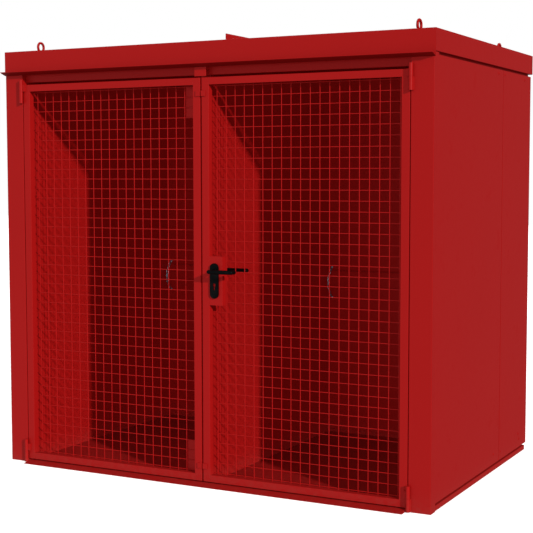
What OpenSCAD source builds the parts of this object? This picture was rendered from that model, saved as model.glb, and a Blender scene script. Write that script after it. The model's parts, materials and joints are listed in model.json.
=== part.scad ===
// Gas cylinder container: a steel store with two bays behind a pair of mesh doors.
// X runs across the front, Y from the doors to the back, Z up from the ground.
// The origin is on the ground, at the centre of the footprint.

/* [Overall] */
// Width over the two front posts
body_w = 2384; // [2000:4:3000]
// Depth from the front of the posts to the back
body_d = 1530; // [1300:5:2400]
// Height from the ground to the top of the roof edge
body_h = 2173; // [1900:5:2600]

/* [Walls and roof] */
// Thickness of the insulated wall panels
wall_t = 107; // [60:1:130]
// How far the wall faces lie behind the outer faces of the posts
wall_inset = 2; // [0:0.5:5]
// Distance from the front of the posts to the seam in the side walls
seam_from_front = 1028.5; // [700:0.5:1150]
// Width of the open seam between two wall panels
seam_w = 7; // [3:0.5:12]
// Depth of the open seam between two wall panels
seam_d = 12; // [5:1:25]
// Thickness of the insulated roof panel
roof_t = 98; // [60:1:130]
// Height of the shadow gap under the roof edge
top_reveal_h = 11; // [6:1:20]
// Height of the shadow gap above the base rails
base_reveal_h = 12; // [6:1:20]
// Depth of both shadow gaps
reveal_d = 15; // [8:1:25]
// Thickness of the wall between the two bays
partition_t = 60; // [40:1:100]

/* [Roof edge] */
// Height of the roof edge on the sides and the back
side_edge_h = 101; // [85:1:125]
// Height of the roof edge on the front
front_edge_h = 124; // [110:1:150]
// Thickness of the folded edge sheet
edge_t = 4; // [2:0.5:6]
// How far the roof edge stands out from the posts at the sides and the back
edge_over = 5.5; // [4.5:0.5:12]
// Width of the top fold that lies on the roof panel
edge_fold_w = 90; // [60:5:110]
// How far the drip lip reaches out from the front edge
lip_reach = 41; // [20:1:50]
// How far the drip lip rises over its reach
lip_rise = 14; // [5:1:30]
// Thickness of the drip lip
lip_t = 3; // [2:0.5:5]
// Height of the rib over the roof panel
rib_h = 64; // [40:1:100]
// Thickness of the rib
rib_t = 6; // [4:1:12]
// Width of the foot of the rib
rib_foot_w = 60; // [40:2:90]
// Thickness of the foot of the rib
rib_foot_t = 5; // [3:0.5:8]
// Distance of the rib from the front and the back of the roof edge
rib_end = 251; // [150:1:500]

/* [Posts and head] */
// Width of a front post
post_w = 109; // [80:1:130]
// Sheet thickness of the front posts
post_t = 4; // [3:0.5:6]
// Depth of the outer return of a front post
post_outer_d = 59; // [40:1:80]
// Depth of the inner return of a front post
post_inner_d = 105; // [85:1:120]
// Height of the beam over the doors
head_h = 60; // [50:1:90]
// Depth of the beam over the doors
head_d = 100; // [80:1:130]
// Wall of the beam over the doors
head_t = 4; // [3:0.5:6]
// How far the beam lies behind the front of the posts
head_setback = 29; // [10:1:34]
// Width of the keeper over the middle of the doors
keeper_w = 64; // [40:2:100]
// Thickness of the keeper
keeper_t = 5; // [3:0.5:8]
// Height of the arm that holds the keeper
keeper_arm_h = 14; // [8:1:20]
// Clear height between the doors and the keeper
keeper_gap = 6; // [5:0.5:9]
// Depth of the post between the two bays
centre_post_d = 80; // [60:1:100]
// Wall of the post between the two bays
centre_post_t = 4; // [3:0.5:6]

/* [Base] */
// Height of the base rails
rail_h = 25; // [15:1:40]
// Wall of the base rails
rail_t = 4; // [3:0.5:6]
// How far the base rails lie behind the wall faces at the sides
rail_inset = 2; // [0:0.5:10]
// How far the base rails lie behind the wall face at the back
rail_rear_inset = 18; // [5:1:30]
// Thickness of the floor plate
floor_t = 8; // [4:1:10]
// How far the sill reaches out in front of the posts
sill_reach = 51; // [50:1:90]
// How far the sill reaches in behind the front of the posts
sill_inner = 19; // [10:1:40]
// Height of the sill under the doors
sill_h = 12; // [8:0.5:13]
// Height of the sill at its front edge
sill_front_h = 2; // [1:0.5:4]
// Gap between the sill and the hinges
sill_side_gap = 3; // [1:0.5:6]

/* [Door leaves] */
// Gap between a leaf and its post
leaf_side_gap = 5; // [5:0.5:8]
// Gap between the two leaves
leaf_mid_gap = 9; // [8:0.5:14]
// Height of the leaves above the ground
leaf_bottom = 18; // [18:0.5:30]
// Gap between the leaves and the beam above them
leaf_top_gap = 13; // [12:0.5:20]
// Width of the upright tubes of a leaf
stile_w = 40; // [30:1:60]
// Height of the cross tubes of a leaf
leaf_rail_h = 35; // [25:1:50]
// Depth of the tubes of a leaf
leaf_d = 35; // [25:1:40]
// Wall of the tubes of a leaf
leaf_tube_t = 3; // [2:0.5:4]

/* [Mesh] */
// Spacing of the mesh wires
mesh_pitch = 50; // [40:5:100]
// Thickness of the mesh wires
wire_t = 4; // [3:0.5:6]
// Distance from the left side of a leaf to its first upright wire
mesh_first_x = 15.5; // [8:0.5:30]
// Distance from the lower cross tube to the first cross wire
mesh_first_z = 5.3; // [4:0.1:30]
// Distance from the ends of the wires to the sides of a leaf
mesh_side = 5; // [2:0.5:8]
// Distance from the ends of the wires to the top and bottom of a leaf
mesh_end = 15; // [5:1:25]

/* [Hinges] */
// Diameter of the hinge knuckles
hinge_d = 20; // [16:1:24]
// Length of a whole hinge
hinge_l = 120; // [90:2:160]
// Height of the lower end of the bottom hinges
hinge_low_z = 3; // [1:1:20]
// How far the top hinges reach above the leaves
hinge_top_over = 25; // [10:1:40]
// Diameter of the hinge pins
hinge_pin_d = 10; // [8:1:12]
// Gap between the two knuckles of a hinge
knuckle_gap = 0.5; // [0.3:0.1:1]
// Radial running clearance of the hinge pins
pin_clear = 0.1; // [0.05:0.01:0.1]
// Gap between a knuckle and the face that it is welded to
hinge_stand = 0.3; // [0.3:0.1:1]
// Distance from a post's inner face to the hinge axis
hinge_from_post = 2; // [0:0.5:3]
// Width of the weld shoe of a knuckle on its post
post_shoe_w = 12; // [8:1:20]
// Width of the weld shoe of a knuckle on its leaf
leaf_shoe_w = 14; // [10:1:20]

/* [Tabs and shoot bolts] */
// Width of the lap tabs, both halves with the gap between them
tab_w = 55; // [40:1:80]
// Height of the lap tabs
tab_h = 27; // [20:1:40]
// Thickness of the lap tabs
tab_t = 5; // [3:0.5:6]
// Distance from the lap tabs to the top and bottom of a leaf
tab_end = 63; // [40:1:120]
// Gap between the two halves of a lap tab
tab_gap = 5.5; // [5.5:0.5:7]
// Width of the shoot bolt plates
bolt_plate_w = 38; // [30:1:50]
// Height of the shoot bolt plates
bolt_plate_h = 155; // [120:1:200]
// Thickness of the shoot bolt plates
bolt_plate_t = 3; // [2:0.5:4]
// Diameter of the shoot bolts
bolt_d = 12; // [8:1:14]
// Size of the guides of the shoot bolts
bolt_guide = 18; // [16:1:22]
// Running clearance of the shoot bolts in their guides
bolt_clear = 0.1; // [0.05:0.01:0.1]

/* [Lock and levers] */
// Width of the lock case
case_w = 73; // [60:1:90]
// Height of the lock case
case_h = 240; // [180:2:300]
// Height of the middle of the lock case
case_z = 1015; // [900:5:1100]
// Width of the lever plates
plate_w = 47; // [36:1:55]
// Height of the lever plates
plate_h = 172; // [140:2:200]
// Thickness of the lever plates
plate_t = 8; // [5:0.5:10]
// Distance from the side of the stile to the axis of the levers
lever_backset = 29.5; // [28:0.5:36]
// Height of the lever axis above the middle of the lock case
lever_up = 48; // [30:1:60]
// Distance from the lever axis down to the key cylinder hole
key_down = 68; // [60:1:72]
// Diameter of the round part of the key cylinder hole
key_d = 17; // [15:0.5:18]
// Width of the narrow part of the key cylinder hole
key_slot_w = 10; // [8:0.5:12]
// Height of the whole key cylinder hole
key_h = 33; // [28:1:36]
// Diameter of the lever bar
lever_bar_d = 20; // [16:1:24]
// Diameter of the lever neck
neck_d = 18; // [14:1:20]
// Length of a lever from end to end
lever_l = 143; // [110:1:160]
// Distance from a lever plate to the middle of the lever bar
lever_stand = 50; // [40:1:60]
// Length of the returned end of a lever
lever_return = 31; // [15:1:35]
// Running clearance round the lever neck
neck_clear = 0.1; // [0.05:0.01:0.1]

/* [Cylinder rails and chains] */
// Height of the lower side of the cylinder rails
cyl_rail_z = 880; // [700:5:1200]
// Height of the profile of the cylinder rails
cyl_rail_h = 87; // [60:1:120]
// Depth of the cylinder rails
cyl_rail_d = 20; // [15:1:30]
// Sheet thickness of the cylinder rails
cyl_rail_t = 3; // [2:0.5:5]
// Distance from the left side of a bay to its chain
chain_x = 18; // [14:1:60]
// Height between the two ends of a chain
chain_span = 175; // [140:1:240]
// How far a chain bulges in front of its rail
chain_front = 50; // [48:1:70]
// Thickness of the chain wire
chain_wire = 4; // [3:0.5:5]
// Width of a chain link
link_w = 15; // [13:0.5:20]
// Number of links in a chain
link_count = 9; // [7:2:11]

/* [Lifting eyes] */
// Outer diameter of a lifting eye
eye_d = 60; // [50:1:70]
// Diameter of the round bar of a lifting eye
eye_bar_d = 13; // [10:0.5:16]
// Diameter of the collar under a lifting eye
eye_collar_d = 34; // [28:1:44]
// Height of the collar under a lifting eye
eye_collar_h = 8; // [6:0.5:12]
// Height of the top of a lifting eye above the roof panel
eye_top = 65; // [62:0.5:76]
// Distance from the side of the posts to the lifting eyes
eye_side = 125; // [110:1:200]
// Distance from the front of the posts to the front lifting eyes
eye_front = 139; // [120:1:250]
// Distance from the back to the rear lifting eyes
eye_rear = 186; // [120:1:250]

/* [Hidden] */

$fn = 48;
over = 1; // how far a cutter runs past a face

red = "firebrick";
dark = "maroon";
black = [0.08, 0.08, 0.09];
zinc = [0.66, 0.68, 0.7];

// Places along Y, from the front of the posts to the back
front_reach = max(sill_reach, lip_reach, plate_t + lever_stand + lever_bar_d / 2);
front_y = front_reach - (front_reach + body_d + edge_over) / 2;
back_y = front_y + body_d;
wall_front_y = front_y + post_outer_d;
wall_back_y = back_y - wall_inset;
bay_back_y = wall_back_y - wall_t;
seam_y = front_y + seam_from_front;

// Places along X, given for the right side
post_x = body_w / 2;
door_x = post_x - post_w;
wall_x = post_x - wall_inset;
bay_x = wall_x - wall_t;

// Heights
roof_top = body_h - edge_t;
ceiling = roof_top - roof_t;
head_z = ceiling - head_h;
front_edge_z = body_h - front_edge_h;
side_edge_z = body_h - side_edge_h;

// The roof edge seen from above
edge_x = post_x + edge_over;
edge_back_y = back_y + edge_over;
slab_x = wall_x - reveal_d;
slab_back_y = wall_back_y - reveal_d;

// A door leaf
leaf_w = door_x - leaf_side_gap - leaf_mid_gap / 2;
leaf_top = head_z - leaf_top_gap;
leaf_h = leaf_top - leaf_bottom;
leaf_back_y = front_y + leaf_d;
left_leaf_x = -door_x + leaf_side_gap;
right_leaf_x = leaf_mid_gap / 2;

// The mesh lies on the back of a leaf
wire_lap = wire_t / 2;
mesh_back_y = leaf_back_y + wire_t + wire_lap;
first_row_z = leaf_bottom + leaf_rail_h + mesh_first_z;
rows = floor((leaf_top - leaf_rail_h - first_row_z) / mesh_pitch) + 1;
columns = floor((leaf_w - mesh_first_x - mesh_side - wire_lap) / mesh_pitch) + 1;
MESH_PARTS = 3;

// Posts and panels stand in line behind the gap between the leaves
centre_y = front_y + head_setback + head_d - centre_post_d;
centre_back_y = centre_y + centre_post_d;

// A hinge
hinge_x = door_x + hinge_from_post;
hinge_y = front_y - hinge_stand - hinge_d / 2;
hinge_half = (hinge_l - knuckle_gap) / 2;
hinge_top_z = leaf_top + hinge_top_over - hinge_l;
hinge_z = [hinge_low_z, hinge_top_z];

// The lock
case_x = right_leaf_x + stile_w;
case_y = front_y;
case_back_y = mesh_back_y;
lever_x = case_x + lever_backset;
lever_z = case_z + lever_up;
key_z = lever_z - key_down;

// Cylinder rails and chains
left_bay_x = [-bay_x, -partition_t / 2];
right_bay_x = [partition_t / 2, bay_x];
chain_z = cyl_rail_z + cyl_rail_h / 2 - 26;
chain_sag = chain_front - link_w / 2 + chain_wire;
chain_r = (pow(chain_span / 2, 2) + pow(chain_sag, 2)) / (2 * chain_sag);
chain_angle = asin(chain_span / 2 / chain_r);
link_pitch = 2 * chain_r * sin(chain_angle / link_count);
link_slack = 1;

// A block from its low corner to its high corner
module block(low, high) {
    translate(low) cube(high - low);
}

// A straight square tube along X, Y or Z, open at its ends
module tube(low, high, t, along) {
    in_low = [for (i = [0:2]) i == along ? low[i] - over : low[i] + t];
    in_high = [for (i = [0:2]) i == along ? high[i] + over : high[i] - t];
    difference() {
        block(low, high);
        block(in_low, in_high);
    }
}

// A bar of constant section along X, drawn as points of Y and Z
module bar_x(points, x0, x1) {
    translate([x0, 0, 0]) rotate([90, 0, 90]) linear_extrude(x1 - x0) polygon(points);
}

// The same shape on the left side
module on_left() {
    mirror([1, 0, 0]) children();
}

// The space of the inner return of a post, which the wall and the base rail leave free
module inner_return_space() {
    block([bay_x - post_w, front_y, -over], [door_x + post_t, front_y + post_inner_d, body_h]);
}

// A front post is one folded sheet, cut out where the front edge sheet crosses it
module front_post() {
    inner_y = front_y + post_inner_d;
    difference() {
        union() {
            block([door_x, front_y, 0], [post_x, front_y + post_t, ceiling]);
            block([door_x, front_y, 0], [door_x + post_t, inner_y, ceiling]);
            block([post_x - post_t, front_y, 0], [post_x, wall_front_y, ceiling]);
        }
        block([door_x - over, front_y - over, front_edge_z],
            [post_x + over, front_y + edge_t, ceiling + over]);
    }
}

module left_front_post() {
    color(red) on_left() front_post();
}

module right_front_post() {
    color(red) front_post();
}

// The section of a wall panel from inside to outside, with a shadow gap at top and bottom
module wall_section(inner, outer) {
    polygon([
        [inner, rail_h], [outer - reveal_d, rail_h],
        [outer - reveal_d, rail_h + base_reveal_h], [outer, rail_h + base_reveal_h],
        [outer, ceiling - top_reveal_h], [outer - reveal_d, ceiling - top_reveal_h],
        [outer - reveal_d, ceiling], [inner, ceiling]]);
}

// A length of side wall
module side_wall(y0, y1) {
    translate([0, y1, 0]) rotate([90, 0, 0]) linear_extrude(y1 - y0) wall_section(bay_x, wall_x);
}

// Half of the open seam, cut into the outer edge of each of the two panels
module side_seam() {
    block([wall_x - seam_d, seam_y - seam_w / 2, 0], [wall_x + over, seam_y + seam_w / 2, body_h]);
}

module wide_panel() {
    difference() {
        side_wall(wall_front_y, seam_y);
        side_seam();
        inner_return_space();
    }
}

module narrow_panel() {
    difference() {
        side_wall(seam_y, wall_back_y);
        side_seam();
    }
}

module left_wall_wide_panel() {
    color(red) on_left() wide_panel();
}

module left_wall_narrow_panel() {
    color(red) on_left() narrow_panel();
}

module right_wall_wide_panel() {
    color(red) wide_panel();
}

module right_wall_narrow_panel() {
    color(red) narrow_panel();
}

// Half of the back wall, between a side wall and the middle
module rear_panel() {
    difference() {
        rotate([90, 0, 90]) linear_extrude(bay_x) wall_section(bay_back_y, wall_back_y);
        block([-over, wall_back_y - seam_d, 0], [seam_w / 2, wall_back_y + over, body_h]);
    }
}

module rear_wall_left_panel() {
    color(red) on_left() rear_panel();
}

module rear_wall_right_panel() {
    color(red) rear_panel();
}

module roof_panel() {
    color(red)
        block([-slab_x, front_y + edge_t, ceiling], [slab_x, slab_back_y, roof_top]);
}

// A block round the roof, inset from the roof edge on its four sides
module roof_block(inset, z0, z1) {
    block([-edge_x + inset, front_y + inset, z0], [edge_x - inset, edge_back_y - inset, z1]);
}

// The folded roof edge all round: an upright face, a top fold and a narrow bottom fold
module roof_edge(z0) {
    difference() {
        roof_block(0, z0, body_h);
        roof_block(edge_t, z0 + edge_t, roof_top);
        block([-slab_x, front_y + edge_t, z0 - over], [slab_x, slab_back_y, roof_top]);
        roof_block(edge_fold_w, z0 - over, body_h + over);
    }
}

// The part of the plan that one side of the roof edge takes, mitred at both corners
module mitred_plan(side) {
    m = edge_fold_w + over;
    front = [[-edge_x, front_y], [edge_x, front_y], [edge_x - m, front_y + m], [-edge_x + m, front_y + m]];
    right = [[edge_x, front_y], [edge_x, edge_back_y], [edge_x - m, edge_back_y - m], [edge_x - m, front_y + m]];
    rear = [[edge_x, edge_back_y], [-edge_x, edge_back_y],
        [-edge_x + m, edge_back_y - m], [edge_x - m, edge_back_y - m]];
    linear_extrude(body_h + over)
        polygon(side == "front" ? front : side == "right" ? right : rear);
}

// The front edge is an upright face and a top fold, with a drip lip along its foot
module front_fascia() {
    lip = [[front_y + edge_t, front_edge_z], [front_y, front_edge_z],
        [front_y - lip_reach, front_edge_z + lip_rise],
        [front_y - lip_reach, front_edge_z + lip_rise + lip_t],
        [front_y, front_edge_z + lip_t], [front_y + edge_t, front_edge_z + lip_t]];
    color(red) union() {
        intersection() {
            difference() {
                roof_block(0, front_edge_z, body_h);
                block([-edge_x - over, front_y + edge_t, 0], [edge_x + over, edge_back_y + over, roof_top]);
                roof_block(edge_fold_w, 0, body_h + over);
            }
            mitred_plan("front");
        }
        bar_x(lip, -edge_x, edge_x);
    }
}

module rear_fascia() {
    color(red) intersection() {
        roof_edge(side_edge_z);
        mitred_plan("rear");
    }
}

module right_edge() {
    intersection() {
        roof_edge(side_edge_z);
        mitred_plan("right");
    }
}

module left_fascia() {
    color(red) on_left() right_edge();
}

module right_fascia() {
    color(red) right_edge();
}

// An upright rib on a flat foot, along the middle of the roof
module roof_rib() {
    y0 = front_y + rib_end;
    y1 = edge_back_y - rib_end;
    color(red) union() {
        block([-rib_foot_w / 2, y0, roof_top], [rib_foot_w / 2, y1, roof_top + rib_foot_t]);
        block([-rib_t / 2, y0, roof_top], [rib_t / 2, y1, roof_top + rib_h]);
    }
}

module head_beam() {
    y0 = front_y + head_setback;
    color(red) tube([-door_x, y0, head_z], [door_x, y0 + head_d, ceiling], head_t, 0);
}

// The keeper hangs from an arm on the beam, just under the front edge
module head_keeper() {
    z1 = front_edge_z;
    color(red) union() {
        block([-keeper_w / 2, front_y - keeper_t, leaf_top + keeper_gap], [keeper_w / 2, front_y, z1]);
        block([-keeper_w / 2, front_y - keeper_t, z1 - keeper_arm_h],
            [keeper_w / 2, front_y + head_setback, z1]);
    }
}

module centre_post() {
    low = [-partition_t / 2, centre_y, floor_t];
    color(red) tube(low, [partition_t / 2, centre_back_y, head_z], centre_post_t, 2);
}

module partition_panel() {
    color(dark)
        block([-partition_t / 2, centre_back_y, floor_t], [partition_t / 2, bay_back_y, ceiling]);
}

module side_base_rail() {
    difference() {
        tube([bay_x, wall_front_y, 0],
            [wall_x - rail_inset, wall_back_y - rail_rear_inset, rail_h], rail_t, 1);
        inner_return_space();
    }
}

module left_base_rail() {
    color(dark) on_left() side_base_rail();
}

module right_base_rail() {
    color(dark) side_base_rail();
}

module rear_base_rail() {
    color(dark)
        tube([-bay_x, bay_back_y, 0], [bay_x, wall_back_y - rail_rear_inset, rail_h], rail_t, 0);
}

module floor_plate() {
    x = min(bay_x, door_x);
    color(dark) block([-x, front_y + sill_inner, 0], [x, bay_back_y, floor_t]);
}

// The sill rises like a ramp from the ground to the doors
module door_sill() {
    x = hinge_x - hinge_d / 2 - sill_side_gap;
    color(red) bar_x([
        [front_y - sill_reach, 0], [front_y - sill_reach, sill_front_h],
        [front_y, sill_h], [front_y + sill_inner, sill_h], [front_y + sill_inner, 0]], -x, x);
}

// A folded rail along the back wall of a bay, open towards the wall
module cylinder_rail(bay) {
    y0 = bay_back_y - cyl_rail_d;
    z1 = cyl_rail_z + cyl_rail_h;
    bar_x([
        [bay_back_y, cyl_rail_z], [y0, cyl_rail_z], [y0, z1], [bay_back_y, z1],
        [bay_back_y, z1 - cyl_rail_t], [y0 + cyl_rail_t, z1 - cyl_rail_t],
        [y0 + cyl_rail_t, cyl_rail_z + cyl_rail_t], [bay_back_y, cyl_rail_z + cyl_rail_t]],
        bay[0], bay[1]);
}

module left_cylinder_rail() {
    color(dark) cylinder_rail(left_bay_x);
}

module right_cylinder_rail() {
    color(dark) cylinder_rail(right_bay_x);
}

// The outline of a loop with round ends, long way along Y
function loop(w, l) = [
    for (a = [0:30:180]) [w / 2 * cos(a), (l - w) / 2 + w / 2 * sin(a)],
    for (a = [180:30:360]) [w / 2 * cos(a), (w - l) / 2 + w / 2 * sin(a)]];

// A chain link
module chain_link() {
    inner_l = link_pitch + link_slack;
    translate([0, 0, -chain_wire / 2]) linear_extrude(chain_wire) difference() {
        polygon(loop(link_w, inner_l + 2 * chain_wire));
        polygon(loop(link_w - 2 * chain_wire, inner_l));
    }
}

// A chain that bulges over the front of its rail, every other link turned by a quarter
module chain(x) {
    for (i = [0:link_count - 1]) {
        a = chain_angle * (2 * i - link_count + 1) / link_count;
        translate([x, bay_back_y + chain_r - chain_sag - chain_wire, chain_z])
            rotate([-a, 0, 0])
                translate([0, -chain_r * cos(chain_angle / link_count), 0])
                    rotate([90, i % 2 == 0 ? 90 : 0, 0])
                        chain_link();
    }
}

module retaining_chains() {
    color(zinc) for (bay = [left_bay_x, right_bay_x]) chain(bay[0] + chain_x);
}

// A ring with a flat-walled hole along X, on a collar
module lifting_eye() {
    ring_z = eye_top - eye_d / 2;
    hole_d = eye_d - 2 * eye_bar_d + 1;
    difference() {
        union() {
            translate([0, 0, ring_z]) rotate([0, 90, 0]) rotate_extrude()
                translate([(eye_d - eye_bar_d) / 2, 0]) circle(d = eye_bar_d);
            cylinder(d = eye_collar_d, h = eye_collar_h);
        }
        translate([-eye_collar_d, 0, ring_z]) rotate([0, 90, 0]) cylinder(d = hole_d, h = 2 * eye_collar_d);
    }
}

module lifting_eyes() {
    color(red) for (x = [-post_x + eye_side, post_x - eye_side])
        for (y = [front_y + eye_front, back_y - eye_rear])
            translate([x, y, roof_top]) lifting_eye();
}

// The lower knuckle carries the pin and sits on the post
module post_knuckle() {
    union() {
        cylinder(d = hinge_d, h = hinge_half);
        cylinder(d = hinge_pin_d, h = hinge_l - hinge_pin_d / 2);
        block([0, 0, 0], [post_shoe_w, front_y - hinge_y, hinge_half]);
    }
}

// The upper knuckle turns on the pin and sits on the leaf
module leaf_knuckle() {
    z0 = hinge_l - hinge_half;
    shoe_x = -(hinge_from_post + leaf_side_gap + leaf_shoe_w);
    shoe_top = min(hinge_l, leaf_top - hinge_top_z);
    difference() {
        union() {
            translate([0, 0, z0]) cylinder(d = hinge_d, h = hinge_half);
            block([shoe_x, 0, z0], [0, front_y - hinge_y, z0 + min(hinge_half, shoe_top - z0)]);
        }
        translate([0, 0, z0 - over])
            cylinder(d = hinge_pin_d + 2 * pin_clear, h = hinge_half - hinge_pin_d / 2 + over + 1);
    }
}

module post_hinges() {
    color(red) for (z = hinge_z) {
        translate([hinge_x, hinge_y, z]) post_knuckle();
        on_left() translate([hinge_x, hinge_y, z]) post_knuckle();
    }
}

module leaf_hinges() {
    for (z = hinge_z) translate([hinge_x, hinge_y, z]) leaf_knuckle();
}

module left_leaf_hinges() {
    color(red) on_left() leaf_hinges();
}

module right_leaf_hinges() {
    color(red) leaf_hinges();
}

module leaf_stiles(x) {
    for (x0 = [x, x + leaf_w - stile_w])
        tube([x0, front_y, leaf_bottom], [x0 + stile_w, leaf_back_y, leaf_top], leaf_tube_t, 2);
}

module leaf_rails(x) {
    for (z0 = [leaf_bottom, leaf_top - leaf_rail_h])
        tube([x + stile_w, front_y, z0],
            [x + leaf_w - stile_w, leaf_back_y, z0 + leaf_rail_h], leaf_tube_t, 0);
}

// A third of the mesh of a leaf: upright wires on the tubes, cross wires sunk into them
module leaf_mesh(x, part) {
    first = floor(rows * part / MESH_PARTS);
    last = floor(rows * (part + 1) / MESH_PARTS) - 1;
    z0 = part == 0 ? leaf_bottom + mesh_end : first_row_z + (first - 0.5) * mesh_pitch;
    z1 = part == MESH_PARTS - 1 ? leaf_top - mesh_end : first_row_z + (last + 0.5) * mesh_pitch;
    union() {
        for (i = [0:columns - 1]) {
            wire_x = x + mesh_first_x + i * mesh_pitch;
            block([wire_x - wire_t / 2, leaf_back_y, z0], [wire_x + wire_t / 2, leaf_back_y + wire_t, z1]);
        }
        for (i = [first:last]) {
            wire_z = first_row_z + i * mesh_pitch;
            block([x + mesh_side, leaf_back_y + wire_lap, wire_z - wire_t / 2],
                [x + leaf_w - mesh_side, mesh_back_y, wire_z + wire_t / 2]);
        }
    }
}

module right_mesh(part) {
    difference() {
        leaf_mesh(right_leaf_x, part);
        case_body();
    }
}

module left_leaf_stiles() {
    color(red) leaf_stiles(left_leaf_x);
}

module left_leaf_rails() {
    color(red) leaf_rails(left_leaf_x);
}

module left_mesh_lower() {
    color(red) leaf_mesh(left_leaf_x, 0);
}

module left_mesh_middle() {
    color(red) leaf_mesh(left_leaf_x, 1);
}

module left_mesh_upper() {
    color(red) leaf_mesh(left_leaf_x, 2);
}

module right_leaf_stiles() {
    color(red) leaf_stiles(right_leaf_x);
}

module right_leaf_rails() {
    color(red) leaf_rails(right_leaf_x);
}

module right_mesh_lower() {
    color(red) right_mesh(0);
}

module right_mesh_middle() {
    color(red) right_mesh(1);
}

module right_mesh_upper() {
    color(red) right_mesh(2);
}

// The two halves of the lap tabs meet over the gap between the leaves
module leaf_tabs() {
    for (z0 = [leaf_bottom + tab_end, leaf_top - tab_end - tab_h])
        block([tab_gap / 2, front_y - tab_t, z0], [tab_w / 2, front_y, z0 + tab_h]);
}

module left_leaf_tabs() {
    color(red) on_left() leaf_tabs();
}

module right_leaf_tabs() {
    color(red) leaf_tabs();
}

// A shoot bolt on its plate: two guides and a bolt with a knob
module shoot_bolt() {
    guide_y = bolt_plate_t + bolt_guide;
    mid = [0, bolt_plate_t + bolt_guide / 2];
    difference() {
        union() {
            block([-bolt_plate_w / 2, 0, 0], [bolt_plate_w / 2, bolt_plate_t, bolt_plate_h]);
            for (z = [bolt_guide / 2, bolt_plate_h - 1.5 * bolt_guide])
                block([-bolt_guide / 2, 0, z], [bolt_guide / 2, guide_y, z + bolt_guide]);
        }
        translate([mid[0], mid[1], -over]) cylinder(d = bolt_d + 2 * bolt_clear, h = bolt_plate_h + 2 * over);
    }
    union() {
        translate([mid[0], mid[1], 0]) cylinder(d = bolt_d, h = bolt_plate_h);
        translate([mid[0], mid[1], bolt_plate_h / 2]) rotate([-90, 0, 0])
            cylinder(d = bolt_d, h = 1.5 * bolt_guide);
    }
}

module left_leaf_bolts() {
    x = -leaf_mid_gap / 2 - stile_w - bolt_plate_w / 2;
    color(red) for (z = [leaf_bottom + leaf_rail_h, leaf_top - leaf_rail_h - bolt_plate_h])
        translate([x, mesh_back_y, z]) shoot_bolt();
}

// The key cylinder hole runs along Y through the lock case and both plates
module key_hole(y0, y1) {
    translate([lever_x, y0, key_z]) {
        rotate([-90, 0, 0]) cylinder(d = key_d, h = y1 - y0);
        block([-key_slot_w / 2, 0, key_d / 2 - key_h], [key_slot_w / 2, y1 - y0, 0]);
    }
}

module neck_hole(y0, y1) {
    translate([lever_x, y0, lever_z]) rotate([-90, 0, 0]) cylinder(d = neck_d + 2 * neck_clear, h = y1 - y0);
}

module case_body() {
    block([case_x, case_y, case_z - case_h / 2], [case_x + case_w, case_back_y, case_z + case_h / 2]);
}

module lock_case() {
    color(red) difference() {
        case_body();
        neck_hole(case_y - over, case_back_y + over);
    }
}

// A lever plate with round ends
module handle_plate(y0) {
    y1 = y0 + plate_t;
    flat = (plate_h - plate_w) / 2;
    difference() {
        union() {
            block([lever_x - plate_w / 2, y0, case_z - flat], [lever_x + plate_w / 2, y1, case_z + flat]);
            for (z = [case_z - flat, case_z + flat])
                translate([lever_x, y0, z]) rotate([-90, 0, 0]) cylinder(d = plate_w, h = plate_t);
        }
        key_hole(y0 - over, y1 + over);
        neck_hole(y0 - over, y1 + over);
    }
}

module handle_plates() {
    color(black) {
        handle_plate(case_y - plate_t);
        handle_plate(case_back_y);
    }
}

// A lever seen from its plate: neck, elbow, bar, elbow and returned end, all round
module lever() {
    r = lever_bar_d / 2;
    tip = lever_l - 2 * r;
    translate([0, lever_stand, 0]) sphere(r = r);
    translate([0, lever_stand, 0]) rotate([0, 90, 0]) cylinder(r = r, h = tip);
    translate([tip, lever_stand, 0]) sphere(r = r);
    translate([tip, lever_stand - lever_return, 0]) rotate([-90, 0, 0]) cylinder(r = r, h = lever_return);
    translate([0, -over, 0]) rotate([-90, 0, 0]) cylinder(d = neck_d, h = lever_stand + over);
}

// Both levers share the spindle, so they turn as one
module lever_handles() {
    outer_y = case_y - plate_t;
    inner_y = case_back_y + plate_t;
    color(black) union() {
        translate([lever_x, outer_y, lever_z]) mirror([0, 1, 0]) lever();
        translate([lever_x, inner_y, lever_z]) lever();
        translate([lever_x, outer_y, lever_z]) rotate([-90, 0, 0]) cylinder(d = neck_d, h = inner_y - outer_y);
    }
}

left_front_post();
right_front_post();
left_wall_wide_panel();
left_wall_narrow_panel();
right_wall_wide_panel();
right_wall_narrow_panel();
rear_wall_left_panel();
rear_wall_right_panel();
roof_panel();
front_fascia();
rear_fascia();
left_fascia();
right_fascia();
roof_rib();
head_beam();
head_keeper();
centre_post();
partition_panel();
left_base_rail();
right_base_rail();
rear_base_rail();
floor_plate();
door_sill();
left_cylinder_rail();
right_cylinder_rail();
retaining_chains();
lifting_eyes();
post_hinges();
left_leaf_stiles();
left_leaf_rails();
left_mesh_lower();
left_mesh_middle();
left_mesh_upper();
left_leaf_hinges();
left_leaf_bolts();
left_leaf_tabs();
right_leaf_stiles();
right_leaf_rails();
right_mesh_lower();
right_mesh_middle();
right_mesh_upper();
right_leaf_hinges();
lock_case();
handle_plates();
right_leaf_tabs();
lever_handles();
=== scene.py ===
# %% [markdown]
# # A gas cylinder container in red powder coat
# The container is a steel box with two bays, closed by a pair of wire mesh doors. Its pieces
# already exist at their real size in the frame. This notebook gives them what a drawing leaves
# out: round wires, softened folds, welds, screws and paint. It starts by loading the frame.

# %% Load the frame
import json
import math

import bmesh
import bpy
from mathutils import Matrix, Vector


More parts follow.
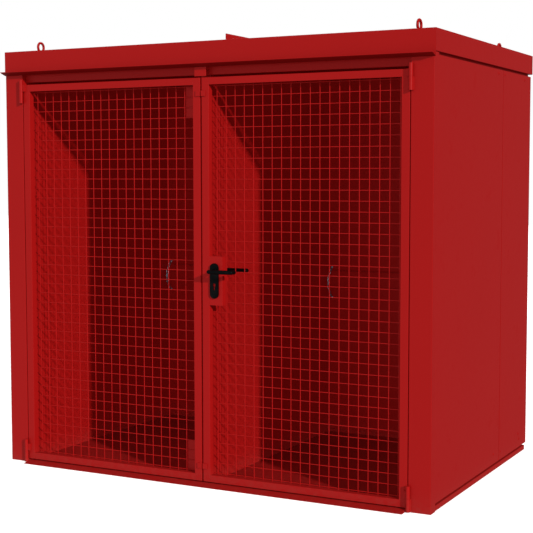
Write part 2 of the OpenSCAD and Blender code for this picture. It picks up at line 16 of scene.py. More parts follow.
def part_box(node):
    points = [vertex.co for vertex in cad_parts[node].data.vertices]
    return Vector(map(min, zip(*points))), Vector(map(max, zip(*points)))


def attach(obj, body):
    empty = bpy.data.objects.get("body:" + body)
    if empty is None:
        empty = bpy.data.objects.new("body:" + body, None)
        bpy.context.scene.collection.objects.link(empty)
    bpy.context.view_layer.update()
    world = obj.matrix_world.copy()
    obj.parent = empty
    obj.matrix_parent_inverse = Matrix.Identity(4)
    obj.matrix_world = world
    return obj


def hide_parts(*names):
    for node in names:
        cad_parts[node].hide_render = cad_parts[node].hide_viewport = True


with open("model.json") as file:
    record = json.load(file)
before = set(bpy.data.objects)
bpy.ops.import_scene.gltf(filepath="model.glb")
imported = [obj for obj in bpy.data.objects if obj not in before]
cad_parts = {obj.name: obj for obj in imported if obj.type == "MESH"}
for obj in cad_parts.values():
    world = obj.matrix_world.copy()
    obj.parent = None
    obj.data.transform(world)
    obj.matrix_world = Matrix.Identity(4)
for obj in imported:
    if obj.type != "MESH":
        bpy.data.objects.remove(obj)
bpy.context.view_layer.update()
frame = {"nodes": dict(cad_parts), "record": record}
MM = 0.001

# %% [markdown]
# # Camera
# The picture was taken from the front right at about eye height, with a lens long enough that
# the upright edges stay almost parallel. The place and the turn of the camera come from fitting
# the corners of the container and the even spacing of its mesh, so they are written as numbers.

# %% Camera
PHOTO_PX = 533
FOCAL_PX = 1239.73
SENSOR_MM = 36.0
FRONT_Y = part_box("door_sill")[0].y + 51 * MM
CAMERA_FROM_FRONT = Vector((3.08817, -5.19769, 1.53597))
CAMERA_PITCH = math.radians(85.706)
CAMERA_YAW = math.radians(27.706)
CAMERA_ROLL = math.radians(-0.066)

camera_data = bpy.data.cameras.new("camera")
camera_data.sensor_width = SENSOR_MM
camera_data.lens = FOCAL_PX * SENSOR_MM / PHOTO_PX
camera = bpy.data.objects.new("camera", camera_data)
camera.matrix_world = (Matrix.Translation(CAMERA_FROM_FRONT + Vector((0, FRONT_Y, 0)))
                       @ Matrix.Rotation(CAMERA_YAW, 4, "Z") @ Matrix.Rotation(CAMERA_PITCH, 4, "X")
                       @ Matrix.Rotation(CAMERA_ROLL, 4, "Z"))
bpy.context.scene.collection.objects.link(camera)
bpy.context.scene.camera = camera
print("front of the posts at y =", round(FRONT_Y, 4))

# %% [markdown]
# # Light and floor
# The photograph has one light low on the right, which throws the shadow of the posts deep into
# the bays, and a soft light from the front that fills the doors. A sun lamp with a small angle
# gives the first. The second is the world itself, made brighter towards the front left with a
# gradient. The bays are never black in the picture, so a weak lamp that casts no shadow lifts
# them, and another keeps the back of the container from going dark in other views. The camera
# sees the world as plain white, as in a catalogue picture. The floor is white too, so it throws
# no light back on the walls, which would wash out their red.

# %% Light and floor
SUN_SIDE = math.radians(61.5)
SUN_HEIGHT = math.radians(20.4)
SUN_STRENGTH = 3.7
SUN_ANGLE = math.radians(2.5)
FILL_SIDE = math.radians(48)
FILL_HEIGHT = math.radians(14)
FILL_STRENGTH = 0.82
BACK_SIDE = math.radians(205)
BACK_HEIGHT = math.radians(35)
BACK_STRENGTH = 1.8
BACK_ANGLE = math.radians(40)
FLOOR_SIZE = 60.0
FLOOR_COLOUR = (0.88, 0.88, 0.88, 1)
FLOOR_GLOW = 0.5
WORLD_BACK = 0.175
WORLD_FRONT = 0.87
WORLD_AXIS = (0.62, 0.78, 0)


def distant_lamp(name, side, height, strength, angle, shadow=True):
    """A lamp so far away that its light is parallel, so far round from the front and so high."""
    flat = math.cos(height)
    towards = Vector((math.sin(side) * flat, -math.cos(side) * flat, math.sin(height)))
    data = bpy.data.lights.new(name, "SUN")
    data.energy = strength
    data.angle = angle
    data.use_shadow = shadow
    lamp = bpy.data.objects.new(name, data)
    lamp.rotation_euler = towards.to_track_quat("Z", "Y").to_euler()
    bpy.context.scene.collection.objects.link(lamp)


distant_lamp("sun", SUN_SIDE, SUN_HEIGHT, SUN_STRENGTH, SUN_ANGLE)
distant_lamp("fill", FILL_SIDE, FILL_HEIGHT, FILL_STRENGTH, SUN_ANGLE, False)
distant_lamp("back", BACK_SIDE, BACK_HEIGHT, BACK_STRENGTH, BACK_ANGLE)

bpy.context.scene.view_settings.view_transform = "Standard"


def soft_world(back, front):
    """A white world that is brighter towards the front left of the container."""
    world = bpy.data.worlds.new("studio")
    bpy.context.scene.world = world
    world.use_nodes = True
    nodes, links = world.node_tree.nodes, world.node_tree.links
    coords = nodes.new("ShaderNodeTexCoord")
    along = nodes.new("ShaderNodeVectorMath")
    along.operation = "DOT_PRODUCT"
    along.inputs[1].default_value = WORLD_AXIS
    ramp = nodes.new("ShaderNodeMapRange")
    ramp.interpolation_type = "SMOOTHSTEP"
    ramp.inputs["From Min"].default_value = 0.1
    ramp.inputs["From Max"].default_value = -0.9
    ramp.inputs["To Min"].default_value = back
    ramp.inputs["To Max"].default_value = front
    links.new(coords.outputs["Generated"], along.inputs[0])
    links.new(along.outputs["Value"], ramp.inputs["Value"])
    seen = nodes.new("ShaderNodeMix")
    seen.inputs["B"].default_value = 1.0
    links.new(nodes.new("ShaderNodeLightPath").outputs["Is Camera Ray"], seen.inputs["Factor"])
    links.new(ramp.outputs["Result"], seen.inputs["A"])
    links.new(seen.outputs["Result"], nodes["Background"].inputs["Strength"])
    nodes["Background"].inputs["Color"].default_value = (1, 1, 1, 1)


def pale_floor():
    """A large plain floor at the height of the ground."""
    bm = bmesh.new()
    bmesh.ops.create_grid(bm, x_segments=1, y_segments=1, size=FLOOR_SIZE / 2)
    mesh = bpy.data.meshes.new("floor")
    bm.to_mesh(mesh)
    bm.free()
    floor = bpy.data.objects.new("floor", mesh)
    bpy.context.scene.collection.objects.link(floor)
    paint = bpy.data.materials.new("pale floor")
    paint.use_nodes = True
    shader = paint.node_tree.nodes["Principled BSDF"]
    shader.inputs["Base Color"].default_value = FLOOR_COLOUR
    shader.inputs["Roughness"].default_value = 0.9
    shader.inputs["Emission Color"].default_value = (1, 1, 1, 1)
    shader.inputs["Emission Strength"].default_value = FLOOR_GLOW
    mesh.materials.append(paint)
    floor.visible_diffuse = False
    floor.visible_glossy = False


soft_world(WORLD_BACK, WORLD_FRONT)
pale_floor()

# %% [markdown]
# # Building a finish
# A finish is a Principled shader fed by a few nodes. Writing node trees by hand hides the idea
# behind links, so a small class wraps a socket and lets it be added, multiplied and compared
# like a number. Every other node comes from one method that takes its type, its settings and
# what goes into its sockets.

# %% Building a finish


class Amount:
    """A number on a surface: a socket that can be used in sums."""

    def __init__(self, finish, socket):
        self.finish = finish
        self.socket = socket

    def _sum(self, operation, first, second):
        node = self.finish.node("ShaderNodeMath", {"operation": operation}, {0: first, 1: second})
        return Amount(self.finish, node.outputs[0])

    def __add__(self, other):
        return self._sum("ADD", self, other)

    def __radd__(self, other):
        return self._sum("ADD", other, self)

    def __sub__(self, other):
        return self._sum("SUBTRACT", self, other)

    def __rsub__(self, other):
        return self._sum("SUBTRACT", other, self)

    def __mul__(self, other):
        return self._sum("MULTIPLY", self, other)

    def __rmul__(self, other):
        return self._sum("MULTIPLY", other, self)

    def above(self, edge, blur):
        """0 below the edge, 1 above it, with a soft step in between."""
        settings = {"interpolation_type": "SMOOTHSTEP"}
        values = {"Value": self, "From Min": edge - blur, "From Max": edge + blur}
        return Amount(self.finish, self.finish.node("ShaderNodeMapRange", settings, values).outputs[0])


class Finish:
    """A material: a Principled shader and the nodes that feed it."""

    def __init__(self, name):
        self.material = bpy.data.materials.new(name)
        self.material.use_nodes = True
        self.tree = self.material.node_tree
        self.shader = self.tree.nodes["Principled BSDF"]
        self.place = self.node("ShaderNodeTexCoord").outputs["Object"]

    def node(self, kind, settings=None, values=None):
        """A node of any kind, with its settings made first and its sockets filled after."""
        node = self.tree.nodes.new(kind)
        for name, setting in (settings or {}).items():
            setattr(node, name, setting)
        for name, value in (values or {}).items():
            self.feed(node.inputs[name], value)
        return node

    def feed(self, socket, value):
        """Links a socket to what varies, or sets it to what is the same everywhere."""
        if isinstance(value, Amount):
            value = value.socket
        if isinstance(value, bpy.types.NodeSocket):
            self.tree.links.new(value, socket)
        else:
            socket.default_value = value

    def noise(self, scale, detail=3.0, roughness=0.55, stretch=(1, 1, 1)):
        """Noise of so many bumps to the metre, from 0 to 1."""
        values = {"Vector": self.place, "Scale": stretch}
        place = self.node("ShaderNodeMapping", {"vector_type": "POINT"}, values).outputs[0]
        values = {"Vector": place, "Scale": scale, "Detail": detail, "Roughness": roughness}
        return Amount(self, self.node("ShaderNodeTexNoise", None, values).outputs["Fac"])

    def height(self):
        """The height of the surface above the ground, in metres."""
        return Amount(self, self.node("ShaderNodeSeparateXYZ", None, {0: self.place}).outputs["Z"])

    def blend(self, share, first, second):
        """A colour between two others."""
        settings = {"data_type": "RGBA"}
        node = self.node("ShaderNodeMix", settings, {"Factor": share, 6: first, 7: second})
        return node.outputs[2]

    def surface(self, **sockets):
        """Feeds the shader: Base_Color="..." stands for its Base Color socket."""
        for name, value in sockets.items():
            self.feed(self.shader.inputs[name.replace("_", " ")], value)

    def relief(self, height, depth, strength=1.0):
        """Raises the surface by a height from 0 to 1, times a depth in metres."""
        values = {"Height": height, "Distance": depth, "Strength": strength}
        self.feed(self.shader.inputs["Normal"], self.node("ShaderNodeBump", None, values).outputs[0])


# %% [markdown]
# # Red powder coat
# Powder coat melts into an even skin with a faint orange peel, a few millimetres from bump to
# bump. On large panels the colour drifts very slightly, the gloss changes a little where hands
# and weather reach, and fine dust dulls the last few centimetres above the ground. All of that
# is noise on the object's own coordinates, so it stays in place when a door turns.

# %% Red powder coat
RED = (0.288, 0.0047, 0.0043, 1)
DEEP_RED = (0.27, 0.0042, 0.0039, 1)
DUST = (0.25, 0.03, 0.025, 1)
# The wire red is a little lighter than the panel red. This is a painted highlight for the round wires, which catch
# more light than the flat tubes.
LIT_WIRE_RED = (0.3, 0.0048, 0.0045, 1)
PEEL_PER_M = 330.0
PEEL_DEPTH = 0.00008
PAINT_GLOSS = 0.075


def powder_coat(name, light, dark, rough, dust_height=0.12, peel=1.0, gloss=PAINT_GLOSS):
    """Powder coat between two close reds, with orange peel and dust near the ground."""
    finish = Finish(name)
    drift = finish.noise(1.6, 2.0)
    mottle = finish.noise(38.0, 4.0)
    scuff = finish.noise(9.0, 5.0, 0.7).above(0.62, 0.05)
    low = 1.0 - finish.height().above(dust_height * 0.45, dust_height * 0.55)
    dusty = low * (finish.noise(55.0, 5.0, 0.65).above(0.5, 0.22)) * 0.35
    colour = finish.blend(drift * 0.6 + mottle * 0.4, dark, light)
    colour = finish.blend(dusty, colour, DUST)
    finish.surface(
        Base_Color=colour,
        Roughness=rough + mottle * 0.08 - 0.04 + scuff * 0.05 + dusty * 0.3,
        IOR=1.5, Specular_IOR_Level=gloss, Coat_Weight=0.0)
    finish.relief(finish.noise(PEEL_PER_M, 1.0) + drift * 0.5, PEEL_DEPTH * peel)
    return finish.material


red_paint = powder_coat("red powder coat", RED, DEEP_RED, 0.42)
inner_paint = powder_coat("red powder coat, inside", RED, DEEP_RED, 0.5)
# The mesh wires get the lighter red, as a painted highlight for the light that their round sides catch.
lit_wire_paint = powder_coat("red powder coat on wire, painted lighter", LIT_WIRE_RED, RED, 0.4, 0.06, 0.3)

# %% [markdown]
# # Black fittings and zinc
# The levers and their plates are black nylon over a steel core: a fine grain, slightly shiny
# where a hand rubs it. The chains are zinc plated, so they are metal with cloudy patches.

# %% Black fittings and zinc
BLACK = (0.0012, 0.0013, 0.0014, 1)
BLACK_WORN = (0.003, 0.0031, 0.0033, 1)
BLACK_GLOSS = 0.04
ZINC = (0.34, 0.46, 0.55, 1)
ZINC_DULL = (0.2, 0.28, 0.35, 1)


def black_nylon():
    finish = Finish("black nylon")
    grain = finish.noise(900.0, 2.0)
    rubbed = finish.noise(22.0, 3.0).above(0.58, 0.12)
    finish.surface(Base_Color=finish.blend(rubbed, BLACK, BLACK_WORN),
                   Roughness=0.4 + grain * 0.12 - rubbed * 0.1, IOR=1.5,
                   Specular_IOR_Level=BLACK_GLOSS)
    finish.relief(grain, 0.00004)
    return finish.material


def zinc_plate(name="zinc plate"):
    finish = Finish(name)
    cloud = finish.noise(160.0, 4.0, 0.6)
    finish.surface(Base_Color=finish.blend(cloud, ZINC_DULL, ZINC),
                   Roughness=0.32 + cloud * 0.2, Metallic=1.0)
    finish.relief(finish.noise(1500.0, 2.0), 0.00002)
    return finish.material


black_paint = black_nylon()
zinc_paint = zinc_plate()

# %% [markdown]
# # Making a piece
# Every new piece is built in a bmesh and handed over in the same way: its faces are turned
# outwards, its sharp edges are kept sharp, and it is tied to the body that it moves with. When
# it stands for a node of the frame, that node is hidden. Weighted normals keep a large face flat
# in the light, so that only its narrow rounded edges roll.

# %% Making a piece
SHARP = math.radians(38)


def hand_over(name, bm, paint, body, slot, *nodes):
    """Makes an object of a bmesh, ties it to a body and lets it stand for nodes."""
    bmesh.ops.recalc_face_normals(bm, faces=bm.faces)
    mesh = bpy.data.meshes.new(name)
    bm.to_mesh(mesh)
    bm.free()
    mesh.polygons.foreach_set("use_smooth", [True] * len(mesh.polygons))
    mesh.set_sharp_from_angle(angle=SHARP)
    mesh.materials.append(paint)
    piece = bpy.data.objects.new(name, mesh)
    bpy.context.scene.collection.objects.link(piece)
    weighted = piece.modifiers.new("weighted normals", "WEIGHTED_NORMAL")
    weighted.keep_sharp = True
    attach(piece, body)
    if nodes:
        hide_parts(*nodes)
    return piece


def body_of_node(node):
    """The body that carries a node of the frame."""
    for body, nodes in frame["record"]["behaviour"]["bodies"].items():
        if node in nodes:
            return body


def merged(node):
    """A bmesh of a node, with its loose triangles merged into flat faces."""
    bm = bmesh.new()
    bm.from_mesh(frame["nodes"][node].data)
    bmesh.ops.remove_doubles(bm, verts=bm.verts, dist=1e-6)
    bmesh.ops.dissolve_limit(bm, angle_limit=math.radians(0.5), verts=bm.verts, edges=bm.edges)
    return bm


def sharp_edges(bm, angle):
    """The edges of a bmesh where two faces meet at more than an angle."""
    return [e for e in bm.edges if len(e.link_faces) == 2 and e.calc_face_angle(0) > angle]


def soften(bm, width, segments=2, angle=math.radians(30)):
    """Rounds the sharp edges of a bmesh."""
    bmesh.ops.bevel(bm, geom=sharp_edges(bm, angle), offset=width, offset_type="OFFSET",
                    affect="EDGES", segments=segments, profile=0.5, material=-1,
                    clamp_overlap=True, loop_slide=True)

# %% [markdown]
# # Folded sheet and panels
# Real sheet is bent round a tool, so a fold always has a small radius, and that radius catches
# a thin line of light. Without it a box looks cut from paper. The frame's pieces have sharp
# edges, so each is copied, its loose triangles are merged, and its edges are bevelled by the
# radius that its material would have: wide on thick panels, narrow on thin sheet.

# %% Folded sheet and panels
FOLD = 1.4 * MM
PANEL_EDGE = 2.2 * MM
TUBE_CORNER = 3.2 * MM
CUT_EDGE = 0.8 * MM

SOFTENED = {
    "left_front_post": (FOLD, red_paint), "right_front_post": (FOLD, red_paint),
    "left_wall_wide_panel": (PANEL_EDGE, red_paint), "left_wall_narrow_panel": (PANEL_EDGE, red_paint),
    "right_wall_wide_panel": (PANEL_EDGE, red_paint), "right_wall_narrow_panel": (PANEL_EDGE, red_paint),
    "rear_wall_left_panel": (PANEL_EDGE, red_paint), "rear_wall_right_panel": (PANEL_EDGE, red_paint),
    "front_fascia": (CUT_EDGE, red_paint), "rear_fascia": (CUT_EDGE, red_paint),
    "left_fascia": (CUT_EDGE, red_paint), "right_fascia": (CUT_EDGE, red_paint),
    "roof_rib": (CUT_EDGE, red_paint), "head_beam": (TUBE_CORNER, red_paint),
    "head_keeper": (CUT_EDGE, red_paint), "centre_post": (TUBE_CORNER, red_paint),
    "partition_panel": (CUT_EDGE, inner_paint), "floor_plate": (CUT_EDGE, inner_paint),
    "left_base_rail": (FOLD, inner_paint), "right_base_rail": (FOLD, inner_paint),
    "rear_base_rail": (FOLD, inner_paint), "door_sill": (CUT_EDGE, red_paint),
    "left_cylinder_rail": (FOLD, inner_paint), "right_cylinder_rail": (FOLD, inner_paint),
    "left_leaf_stiles": (TUBE_CORNER, red_paint), "left_leaf_rails": (TUBE_CORNER, red_paint),
    "right_leaf_stiles": (TUBE_CORNER, red_paint), "right_leaf_rails": (TUBE_CORNER, red_paint),
    "left_leaf_tabs": (CUT_EDGE, red_paint), "right_leaf_tabs": (CUT_EDGE, red_paint),
    "lock_case": (FOLD, red_paint),
}


def soften_node(node, width, paint):
    """A copy of a node with rounded edges, which stands for it."""
    bm = merged(node)
    faces = len(bm.faces)
    soften(bm, width)
    slot = next(p["material_slot"] for p in frame["record"]["subparts"] if p["node"] == node)
    piece = hand_over(node + "_soft", bm, paint, body_of_node(node), slot, node)
    return faces, len(piece.data.polygons)


for node, (width, paint) in SOFTENED.items():
    before, after = soften_node(node, width, paint)
    print(f"{node}: {before} faces, {after} after softening")

# %% [markdown]
# # Door mesh
# The doors are filled with welded mesh: upright wires lie against the tubes, cross wires lie
# behind them and are melted halfway in where they meet. The frame has square bars there, which
# is enough for strength and clearance but not for the way a round wire rolls the light. Each
# wire is a cylinder of eight sides with smooth shading. On the right door the wires stop at the
# lock case.

# %% Door mesh
WIRE = 4.2 * MM
WIRE_SIDES = 8
WIRE_PITCH = 50 * MM
FIRST_UPRIGHT = 10.5 * MM
FIRST_CROSS = 25.3 * MM
ALONG = {"x": Matrix.Rotation(math.radians(90), 4, "Y"), "z": Matrix.Identity(4)}


def wire(bm, along, low, high, centre):
    """A round wire along X or Z between two ends, with its other two coordinates given."""
    middle = (low + high) / 2
    place = (middle, centre[0], centre[1]) if along == "x" else (centre[0], centre[1], middle)
    bmesh.ops.create_cone(bm, cap_ends=True, segments=WIRE_SIDES, radius1=WIRE / 2, radius2=WIRE / 2,
                          depth=high - low, matrix=Matrix.Translation(place) @ ALONG[along])


def steps(first, last, pitch):
    """Even places from first to last."""
    return [first + i * pitch for i in range(int((last - first) / pitch + 1e-4) + 1)]


def stretches(low, high, place, hole, across, along):
    """The stretches of a wire that a hole leaves, where the hole covers its place."""
    if hole and hole[0][across] < place < hole[1][across]:
        return [(low, hole[0][along]), (hole[1][along], high)]
    return [(low, high)]


def door_mesh(side, hole=None):
    """The welded mesh of one door, with an optional hole given by two corners."""
    nodes = [f"{side}_mesh_{part}" for part in ("lower", "middle", "upper")]
    low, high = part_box(nodes[0])[0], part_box(nodes[2])[1]
    upright_y = low.y + WIRE / 2
    cross_y = high.y - WIRE / 2
    bm = bmesh.new()
    uprights = steps(low.x + FIRST_UPRIGHT, high.x, WIRE_PITCH)
    crosses = steps(low.z + FIRST_CROSS, high.z, WIRE_PITCH)
    for x in uprights:
        for z0, z1 in stretches(low.z, high.z, x, hole, 0, 2):
            wire(bm, "z", z0, z1, (x, upright_y))
    for z in crosses:
        for x0, x1 in stretches(low.x, high.x, z, hole, 2, 0):
            wire(bm, "x", x0, x1, (cross_y, z))
    hand_over(side + "_mesh", bm, lit_wire_paint, side + "_leaf", "mesh_paint", *nodes)
    print(f"{side} mesh: {len(uprights)} upright and {len(crosses)} cross wires")


door_mesh("left")
door_mesh("right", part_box("lock_case"))

# %% [markdown]
# # Ends of the door tubes
# The upright tubes are open in the frame, as they come from the saw. A maker welds a small plate
# into each end to keep the rain out. It sits just inside the tube, so its edge shows as a fine
# step.

# %% Ends of the door tubes
TUBE_WALL = 3 * MM
CAP_T = 3 * MM
CAP_SET_IN = 0.6 * MM


def block(bm, low, high, edge=0.0, segments=2):
    """A block between two corners, with its edges bevelled."""
    size = Vector(high) - Vector(low)
    place = Matrix.Translation((Vector(high) + Vector(low)) / 2) @ Matrix.Diagonal((*size, 1))
    made = bmesh.ops.create_cube(bm, size=1, matrix=place)["verts"]
    if edge:
        edges = list({e for v in made for e in v.link_edges})
        bmesh.ops.bevel(bm, geom=edges, offset=edge, offset_type="OFFSET", affect="EDGES",
                        segments=segments, profile=0.5, material=-1, clamp_overlap=True)


def tube_caps(side):
    """Four plates in the ends of a door's two upright tubes."""
    low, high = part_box(side + "_leaf_stiles")
    width = 40 * MM
    bm = bmesh.new()
    for x in (low.x, high.x - width):
        for z in (low.z + CAP_SET_IN, high.z - CAP_SET_IN - CAP_T):
            block(bm, (x + TUBE_WALL, low.y + TUBE_WALL, z),
                  (x + width - TUBE_WALL, high.y - TUBE_WALL, z + CAP_T), 0.5 * MM, 1)
    hand_over(side + "_leaf_caps", bm, red_paint, side + "_leaf", "red_paint")


tube_caps("left")
tube_caps("right")

# %% [markdown]
# # Hinges and welds
# A weld-on hinge is two turned knuckles on a pin. Each has a small chamfer at its ends, and each
# is welded to its door or post along its shoe. A bead of weld is a row of overlapping ripples:
# here a ring of eight points is extruded step by step, and every second ring is swollen.

# %% Hinges and welds
CHAMFER = 1.0 * MM
BEAD = 2.6 * MM
RIPPLE = 2.2 * MM
SWELL = 1.22


def sweep(bm, path, radii, normal, sides=8, closed=False):
    """A round bar along a flat path, with a radius at each point. The normal is across the path."""
    count = len(path)
    places = []
    for i, (point, radius) in enumerate(zip(path, radii)):
        before, after = path[max(i - 1, 0)], path[min(i + 1, count - 1)]
        if closed:
            before, after = path[i - 1], path[(i + 1) % count]
        ahead = (after - before).normalized()
        across = ahead.cross(normal).normalized()
        turn = Matrix((across, across.cross(ahead), ahead)).transposed().to_4x4()
        places.append(Matrix.Translation(point) @ turn @ Matrix.Scale(radius, 4))
    ring = bmesh.ops.create_circle(bm, cap_ends=False, segments=sides, radius=1, matrix=places[0])["verts"]
    first = edges = list({e for v in ring for e in v.link_edges})
    for before, after in zip(places, places[1:]):
        grown = bmesh.ops.extrude_edge_only(bm, edges=edges)["geom"]
        edges = [g for g in grown if isinstance(g, bmesh.types.BMEdge)]
        ring = [g for g in grown if isinstance(g, bmesh.types.BMVert)]
        bmesh.ops.transform(bm, matrix=after @ before.inverted(), verts=ring)
    if closed:
        bmesh.ops.bridge_loops(bm, edges=first + edges)
    else:
        bmesh.ops.edgeloop_fill(bm, edges=first)
        bmesh.ops.edgeloop_fill(bm, edges=edges)


def bead(bm, start, end, size=BEAD):
    """A rippled weld bead from one point to another."""
    start, end = Vector(start), Vector(end)
    run = end - start
    count = max(4, 2 * round(run.length / RIPPLE))
    path = [start + run * i / count for i in range(count + 1)]
    radii = [size / 2 * (0.5 if i in (0, count) else SWELL if i % 2 else 1) for i in range(count + 1)]
    sweep(bm, path, radii, run.orthogonal())


def soft_hinges(node):
    """The knuckles of a node with chamfered ends."""
    bm = merged(node)
    soften(bm, CHAMFER, 2, math.radians(50))
    hand_over(node + "_soft", bm, red_paint, body_of_node(node), "red_paint", node)


for hinge_node in ("post_hinges", "left_leaf_hinges", "right_leaf_hinges"):
    soft_hinges(hinge_node)

SHOE_BEAD_INSET = 3 * MM
post_low, post_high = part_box("post_hinges")
leaf_hinge_low, leaf_hinge_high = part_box("right_leaf_hinges")
HINGE_X = post_high.x - 12 * MM
HINGE_HALF = 59.75 * MM
HINGE_LOW_Z = post_low.z
HINGE_TOP_Z = leaf_hinge_high.z - 120 * MM


def shoe_beads(bm, x, z0, z1):
    """A bead along the side of a shoe, on the front of a post or a door."""
    bead(bm, (x, FRONT_Y, z0 + SHOE_BEAD_INSET), (x, FRONT_Y, z1 - SHOE_BEAD_INSET))


def hinge_welds():
    """The beads of all four hinges: on the posts and on each door."""
    on_posts, on_left, on_right = bmesh.new(), bmesh.new(), bmesh.new()
    leaf_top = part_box("right_leaf_stiles")[1].z
    for z in (HINGE_LOW_Z, HINGE_TOP_Z):
        for side in (-1, 1):
            shoe_beads(on_posts, side * (HINGE_X + 12 * MM), z, z + HINGE_HALF)
        top = min(z + 2 * HINGE_HALF, leaf_top)
        for bm, side in ((on_left, -1), (on_right, 1)):
            shoe_beads(bm, side * (HINGE_X - 21 * MM), z + HINGE_HALF, top)
    hand_over("post_hinge_welds", on_posts, red_paint, "container", "red_paint")
    hand_over("left_hinge_welds", on_left, red_paint, "left_leaf", "red_paint")
    hand_over("right_hinge_welds", on_right, red_paint, "right_leaf", "red_paint")


hinge_welds()

# %% [markdown]
# # Shoot bolts
# The left door is held by a shoot bolt in each inner corner. Its plate and guides are cut from
# sheet and painted with the door. In the picture the plates reach further over the mesh than in
# the frame, so their free edge is moved out before the edges are softened.

# %% Shoot bolts
BOLT_PLATE_MORE = 28 * MM
SAME_PLACE = 0.1 * MM

bolt_bm = merged("left_leaf_bolts")
bolt_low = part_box("left_leaf_bolts")[0]
free_edge = [v for v in bolt_bm.verts if v.co.x < bolt_low.x + SAME_PLACE]
bmesh.ops.translate(bolt_bm, verts=free_edge, vec=(-BOLT_PLATE_MORE, 0, 0))
print("corners moved on the shoot bolt plates:", len(free_edge))
soften(bolt_bm, 0.6 * MM, 2, math.radians(50))
hand_over("left_leaf_bolts_soft", bolt_bm, red_paint, "left_leaf", "red_paint", "left_leaf_bolts")

# %% [markdown]
# # Levers and plates
# The lever set is the one black thing on the container, so it draws the eye. The lever comes
# from the frame, where it is already round. The plates get a rounded rim, a raised collar round
# each lever neck, and two countersunk screws each, above and below.

# %% Levers and plates
PLATE_RIM = 2.2 * MM
TO_FRONT = Matrix.Rotation(math.radians(90), 4, "X")
TO_BACK = Matrix.Rotation(math.radians(-90), 4, "X")
COLLAR = [(9.2, 0), (9.2, 2.4), (9.8, 3), (13.6, 3), (14.6, 2), (15, 0)]
PLATE_SCREW = [(0, 0.5), (1.6, 0.5), (1.6, 1.1), (3.2, 0.9), (3.9, 0.4), (4.2, 0)]


def turned(bm, profile, place, steps=24):
    """A turned part: points of (radius, height) in mm are spun round Z, then put in place."""
    old = set(bm.verts)
    verts = [bm.verts.new((radius * MM, 0, height * MM)) for radius, height in profile]
    edges = [bm.edges.new(pair) for pair in zip(verts, verts[1:])]
    bmesh.ops.spin(bm, geom=verts + edges, cent=(0, 0, 0), axis=(0, 0, 1), angle=math.tau,
                   steps=steps, use_merge=True)
    made = [v for v in bm.verts if v not in old]
    bmesh.ops.transform(bm, matrix=place, verts=made)
    bmesh.ops.remove_doubles(bm, verts=made, dist=1e-6)


def round_copy(node, paint, slot):
    """A copy of a round node, shaded smoothly."""
    bm = bmesh.new()
    bm.from_mesh(frame["nodes"][node].data)
    bmesh.ops.remove_doubles(bm, verts=bm.verts, dist=1e-6)
    hand_over(node + "_smooth", bm, paint, body_of_node(node), slot, node)


round_copy("lever_handles", black_paint, "black_fittings")

plates_bm = merged("handle_plates")
soften(plates_bm, PLATE_RIM, 3, math.radians(50))
hand_over("handle_plates_soft", plates_bm, black_paint, "right_leaf", "black_fittings", "handle_plates")

plate_low, plate_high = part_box("handle_plates")
lever_low, lever_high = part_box("lever_handles")
LEVER_X = (plate_low.x + plate_high.x) / 2
LEVER_Z = (lever_low.z + lever_high.z) / 2
trim_bm = bmesh.new()
for y, turn in ((plate_low.y, TO_FRONT), (plate_high.y, TO_BACK)):
    turned(trim_bm, COLLAR, Matrix.Translation((LEVER_X, y, LEVER_Z)) @ turn, 40)
    for z in (plate_low.z + 13 * MM, plate_high.z - 13 * MM):
        turned(trim_bm, PLATE_SCREW, Matrix.Translation((LEVER_X, y, z)) @ turn)
hand_over("plate_trim", trim_bm, black_paint, "right_leaf", "black_fittings")

# %% [markdown]
# # Chains
# A short chain hangs in front of the rail at the back of each bay and holds a cylinder upright.
# A link is a round bar bent to a loop, and every other link is turned by a quarter. The links
# follow an arc, as a chain does when it is held off the wall at its middle.

# %% Chains
LINK_WIRE = 4.0
LINK_W = 15.0
LINK_COUNT = 9
CHAIN_SPAN = 175.0
CHAIN_SAG = 46.5
CHAIN_BESIDE = 18 * MM
CHAIN_BELOW = 26 * MM
ANCHOR = [(0, 4.6), (2, 4.6), (3.4, 3.8), (4, 2.6), (4, 1.8), (6.2, 1.8), (6.6, 1.4), (6.6, 0)]


def loop_path(width, length, steps=8):
    """The points of a loop with round ends, in the XY plane, long way along Y."""
    points = []
    for end in (1, -1):
        for i in range(steps + 1):
            a = math.pi * i / steps + (0 if end > 0 else math.pi)
            points.append(Vector((width / 2 * math.cos(a), end * (length - width) / 2 + width / 2 * math.sin(a), 0)))
    return points


def chain(bm, rail):
    """A chain in front of a cylinder rail."""
    low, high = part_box(rail)
    radius = (CHAIN_SPAN ** 2 / 4 + CHAIN_SAG ** 2) / (2 * CHAIN_SAG)
    half = math.asin(CHAIN_SPAN / 2 / radius)
    pitch = 2 * radius * math.sin(half / LINK_COUNT)
    path = loop_path(LINK_W - LINK_WIRE, pitch + 1 + LINK_WIRE)
    centre = Matrix.Translation((low.x + CHAIN_BESIDE, high.y + (radius - CHAIN_SAG - LINK_WIRE) * MM,
                                 (low.z + high.z) / 2 - CHAIN_BELOW))
    out = Matrix.Translation((0, -radius * math.cos(half / LINK_COUNT) * MM, 0))
    for i in range(LINK_COUNT):
        a = half * (2 * i - LINK_COUNT + 1) / LINK_COUNT
        quarter = Matrix.Rotation(math.radians(90 if i % 2 == 0 else 0), 4, "Y")
        place = centre @ Matrix.Rotation(-a, 4, "X") @ out @ TO_FRONT @ quarter @ Matrix.Scale(MM, 4)
        normal = place.to_3x3() @ Vector((0, 0, 1))
        sweep(bm, [place @ p for p in path], [LINK_WIRE / 2 * MM] * len(path), normal.normalized(), 10, True)
    for z in (-1, 1):
        end = Vector((low.x + CHAIN_BESIDE, high.y, (low.z + high.z) / 2 - CHAIN_BELOW + z * CHAIN_SPAN / 2 * MM))
        turned(bm, ANCHOR, Matrix.Translation(end) @ TO_FRONT)


chain_bm = bmesh.new()
for rail in ("left_cylinder_rail", "right_cylinder_rail"):
    chain(chain_bm, rail)
hand_over("retaining_chains_round", chain_bm, zinc_paint, "container", "galvanised", "retaining_chains")

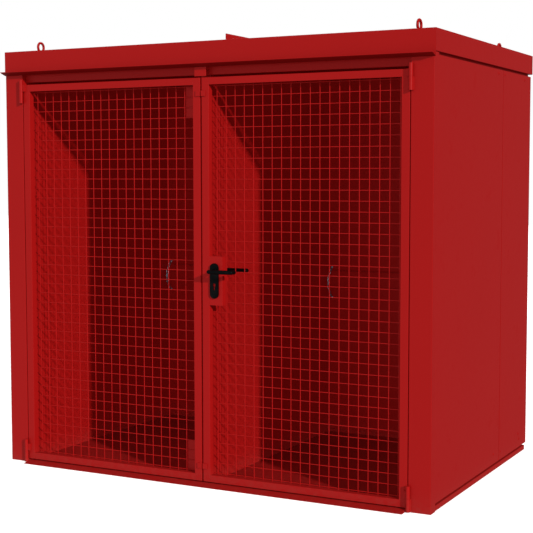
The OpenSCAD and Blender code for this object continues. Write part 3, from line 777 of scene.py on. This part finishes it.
# %% [markdown]
# # Lifting eyes
# Four forged eyes are screwed into the corners of the roof. Each sits on its collar, and the
# joint of the collar with the roof is sealed, which shows as a thin soft ring.

# %% Lifting eyes
EYE_SEAL = [(19, 0), (19, 1.6), (20.4, 1.4), (21.4, 0.8), (21.8, 0)]

round_copy("lifting_eyes", red_paint, "red_paint")
eye_low, eye_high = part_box("lifting_eyes")
ROOF_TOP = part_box("roof_panel")[1].z
seal_bm = bmesh.new()
for x in (eye_low.x, eye_high.x):
    for y in (eye_low.y, eye_high.y):
        inward = Vector(((18 if x < 0 else -18) * MM, (18 if y < 0 else -18) * MM, 0))
        place = Matrix.Translation(Vector((x, y, eye_low.z)) + inward)
        turned(seal_bm, EYE_SEAL, place, 32)
hand_over("lifting_eye_seals", seal_bm, red_paint, "container", "red_paint")

# %% [markdown]
# # Screws
# The wall panels are screwed to the frame from outside. Each screw has a washer under a low
# round head with a socket in it. They sit in the corners of each panel, as in the picture, and
# the far side and the back repeat them.

# %% Screws
WALL_SCREW = [(0, 1.4), (1.9, 1.4), (1.9, 3.4), (3.6, 3.2), (4.8, 2.5), (5.4, 1.4), (7.2, 1.4), (7.6, 1), (7.6, 0)]
SIDE_SCREWS = [(950, 2038), (1056, 2038), (1410, 2034), (936, 88), (1055, 79), (1396, 82), (1378, 113)]
REAR_SCREWS = [(-1110, 2040), (-45, 2040), (45, 2040), (1110, 2040),
               (-1110, 84), (-45, 84), (45, 84), (1110, 84), (-1110, 111), (1110, 111)]


def wall_screws():
    """The screws of both side walls and the rear wall."""
    bm = bmesh.new()
    for side, node in ((-1, "left_wall_wide_panel"), (1, "right_wall_wide_panel")):
        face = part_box(node)[0].x if side < 0 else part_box(node)[1].x
        turn = Matrix.Rotation(math.radians(90 * side), 4, "Y")
        for along, z in SIDE_SCREWS:
            turned(bm, WALL_SCREW, Matrix.Translation((face, FRONT_Y + along * MM, z * MM)) @ turn)
    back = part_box("rear_wall_left_panel")[1].y
    for x, z in REAR_SCREWS:
        turned(bm, WALL_SCREW, Matrix.Translation((x * MM, back, z * MM)) @ TO_BACK)
    hand_over("wall_screws", bm, red_paint, "container", "red_paint")


wall_screws()

# %% [markdown]
# # Finishes on what is left
# Every node of the frame that no piece stands for still shows, so it gets its finish by the
# slot that the record gives it.

# %% Finishes on what is left
SLOT_PAINT = {"red_paint": red_paint, "inner_paint": inner_paint, "mesh_paint": lit_wire_paint,
              "black_fittings": black_paint, "galvanised": zinc_paint}
for part in frame["record"]["subparts"]:
    node = frame["nodes"][part["node"]]
    if not node.hide_render:
        node.data.materials.clear()
        node.data.materials.append(SLOT_PAINT[part["material_slot"]])
        print("kept as it is:", part["node"], part["material_slot"])
